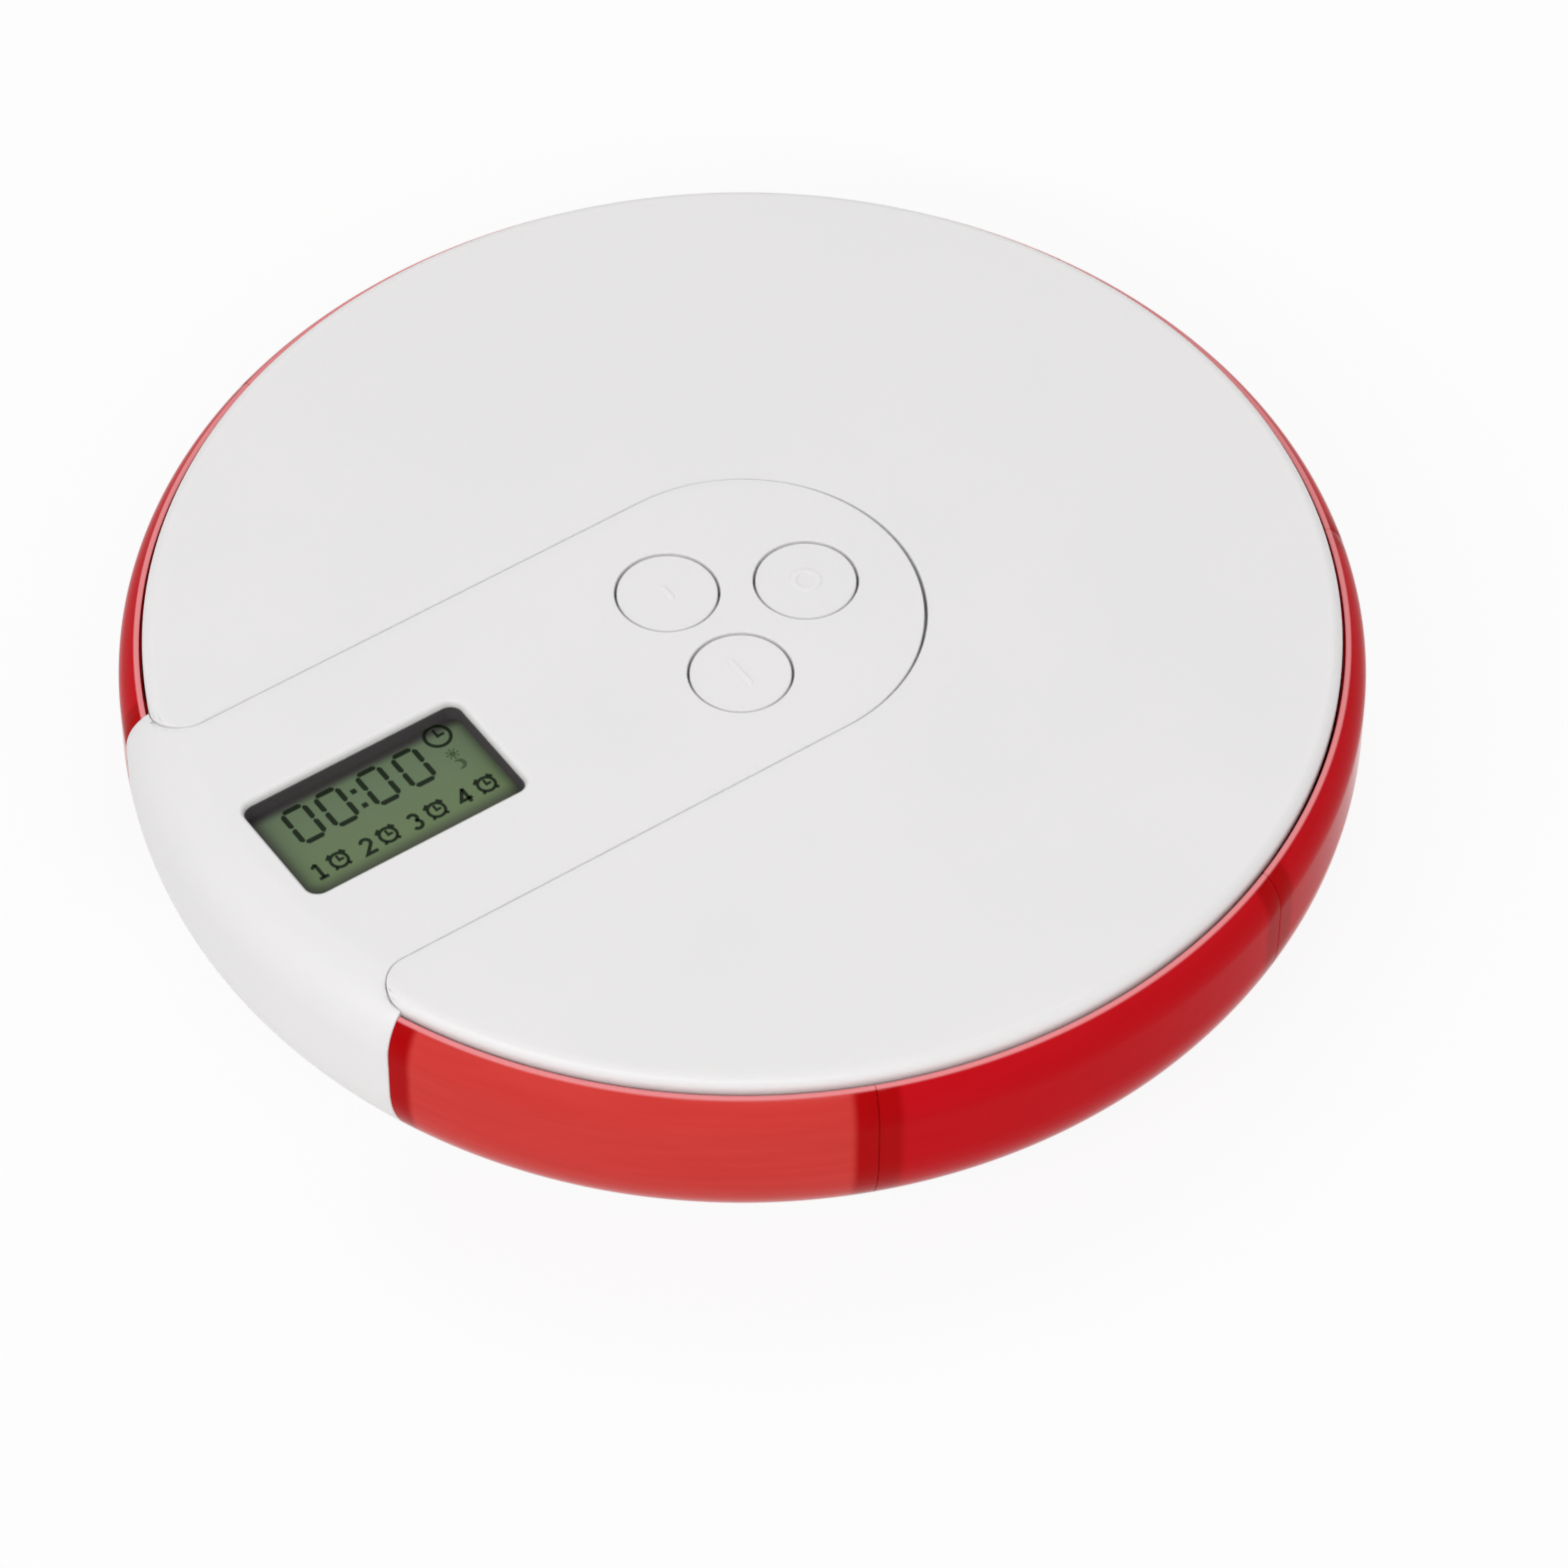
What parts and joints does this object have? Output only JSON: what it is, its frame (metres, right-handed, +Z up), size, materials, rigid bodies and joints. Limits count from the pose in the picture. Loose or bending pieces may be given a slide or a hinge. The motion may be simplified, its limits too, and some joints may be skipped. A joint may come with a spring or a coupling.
{
  "type": "electronic pill box",
  "caption": "Round pocket pill box with pull-out clear drawers around a hub and a digital alarm timer with display and buttons on a white cover.",
  "frame": {"origin": "middle of the underside, on the plane that the foot ring rests on", "axes": "+Z up through the buttons; -X from the middle towards the display's rim end; +Y to the hour button's side, seen from above with the display pointing left"},
  "size_m": [0.11, 0.11, 0.022],
  "materials": {
    "white_abs": "satin moulded white ABS",
    "clear_red_polystyrene": "clear red moulded polystyrene, glossy",
    "display_glass": "grey-green liquid crystal display with black segments",
    "black_plastic": "matt black",
    "board_laminate": "green lacquered glass fibre laminate",
    "contact_rubber": "pink silicone rubber",
    "steel": "nickel-plated bright",
    "brass": "rolled sheet",
    "silvered_ceramic": "silver-fired ceramic",
    "red_lead_sleeve": "extruded PVC sleeve"
  },
  "bodies": {
    "base": {"base_shell": "white_abs", "top_cover": "white_abs", "timer_housing": "white_abs", "coin_cell": "steel", "battery_contact_minus": "steel", "battery_contact_plus": "steel", "hour_switch_body": "black_plastic", "minute_switch_body": "black_plastic", "set_switch_body": "black_plastic", "display_glass": "display_glass", "display_frame": "black_plastic", "contact_strip": "contact_rubber", "circuit_board": "board_laminate", "timer_chip": "black_plastic", "crystal_can": "steel", "buzzer_plate": "brass", "buzzer_ceramic": "silvered_ceramic", "buzzer_lead_signal": "red_lead_sleeve", "buzzer_lead_ground": "black_plastic", "case_screw_1": "steel", "case_screw_2": "steel", "case_screw_3": "steel", "case_screw_4": "steel", "case_screw_5": "steel", "board_screw_1": "steel", "board_screw_2": "steel", "board_screw_3": "steel"},
    "drawer_1": {"drawer_1": "clear_red_polystyrene"},
    "drawer_2": {"drawer_2": "clear_red_polystyrene"},
    "drawer_3": {"drawer_3": "clear_red_polystyrene"},
    "drawer_4": {"drawer_4": "clear_red_polystyrene"},
    "drawer_5": {"drawer_5": "clear_red_polystyrene"},
    "drawer_6": {"drawer_6": "clear_red_polystyrene"},
    "drawer_7": {"drawer_7": "clear_red_polystyrene"},
    "hour_button": {"hour_button": "white_abs", "hour_switch_plunger": "black_plastic"},
    "minute_button": {"minute_button": "white_abs", "minute_switch_plunger": "black_plastic"},
    "set_button": {"set_button": "white_abs", "set_switch_plunger": "black_plastic"},
    "battery_door": {"battery_door": "white_abs"}
  },
  "joints": [
    {"name": "drawer_1_slide", "type": "slide", "parent": "base", "child": "drawer_1", "axis": [-0.7071, -0.7071, 0], "range_m": [0, 0.023]},
    {"name": "drawer_2_slide", "type": "slide", "parent": "base", "child": "drawer_2", "axis": [0, -1, 0], "range_m": [0, 0.023]},
    {"name": "drawer_3_slide", "type": "slide", "parent": "base", "child": "drawer_3", "axis": [0.7071, -0.7071, 0], "range_m": [0, 0.023]},
    {"name": "drawer_4_slide", "type": "slide", "parent": "base", "child": "drawer_4", "axis": [1, 0, 0], "range_m": [0, 0.023]},
    {"name": "drawer_5_slide", "type": "slide", "parent": "base", "child": "drawer_5", "axis": [0.7071, 0.7071, 0], "range_m": [0, 0.023]},
    {"name": "drawer_6_slide", "type": "slide", "parent": "base", "child": "drawer_6", "axis": [0, 1, 0], "range_m": [0, 0.023]},
    {"name": "drawer_7_slide", "type": "slide", "parent": "base", "child": "drawer_7", "axis": [-0.7071, 0.7071, 0], "range_m": [0, 0.023]},
    {"name": "hour_press", "type": "slide", "parent": "base", "child": "hour_button", "axis": [0, 0, -1], "range_m": [0, 0.0005], "stiffness_N_per_m": 2000},
    {"name": "minute_press", "type": "slide", "parent": "base", "child": "minute_button", "axis": [0, 0, -1], "range_m": [0, 0.0005], "stiffness_N_per_m": 2000},
    {"name": "set_press", "type": "slide", "parent": "base", "child": "set_button", "axis": [0, 0, -1], "range_m": [0, 0.0005], "stiffness_N_per_m": 2000},
    {"name": "battery_door_turn", "type": "hinge", "parent": "base", "child": "battery_door", "pos_m": [0, 0, 0.0013], "axis": [0, 0, 1], "range_deg": [0, 40]}
  ]
}
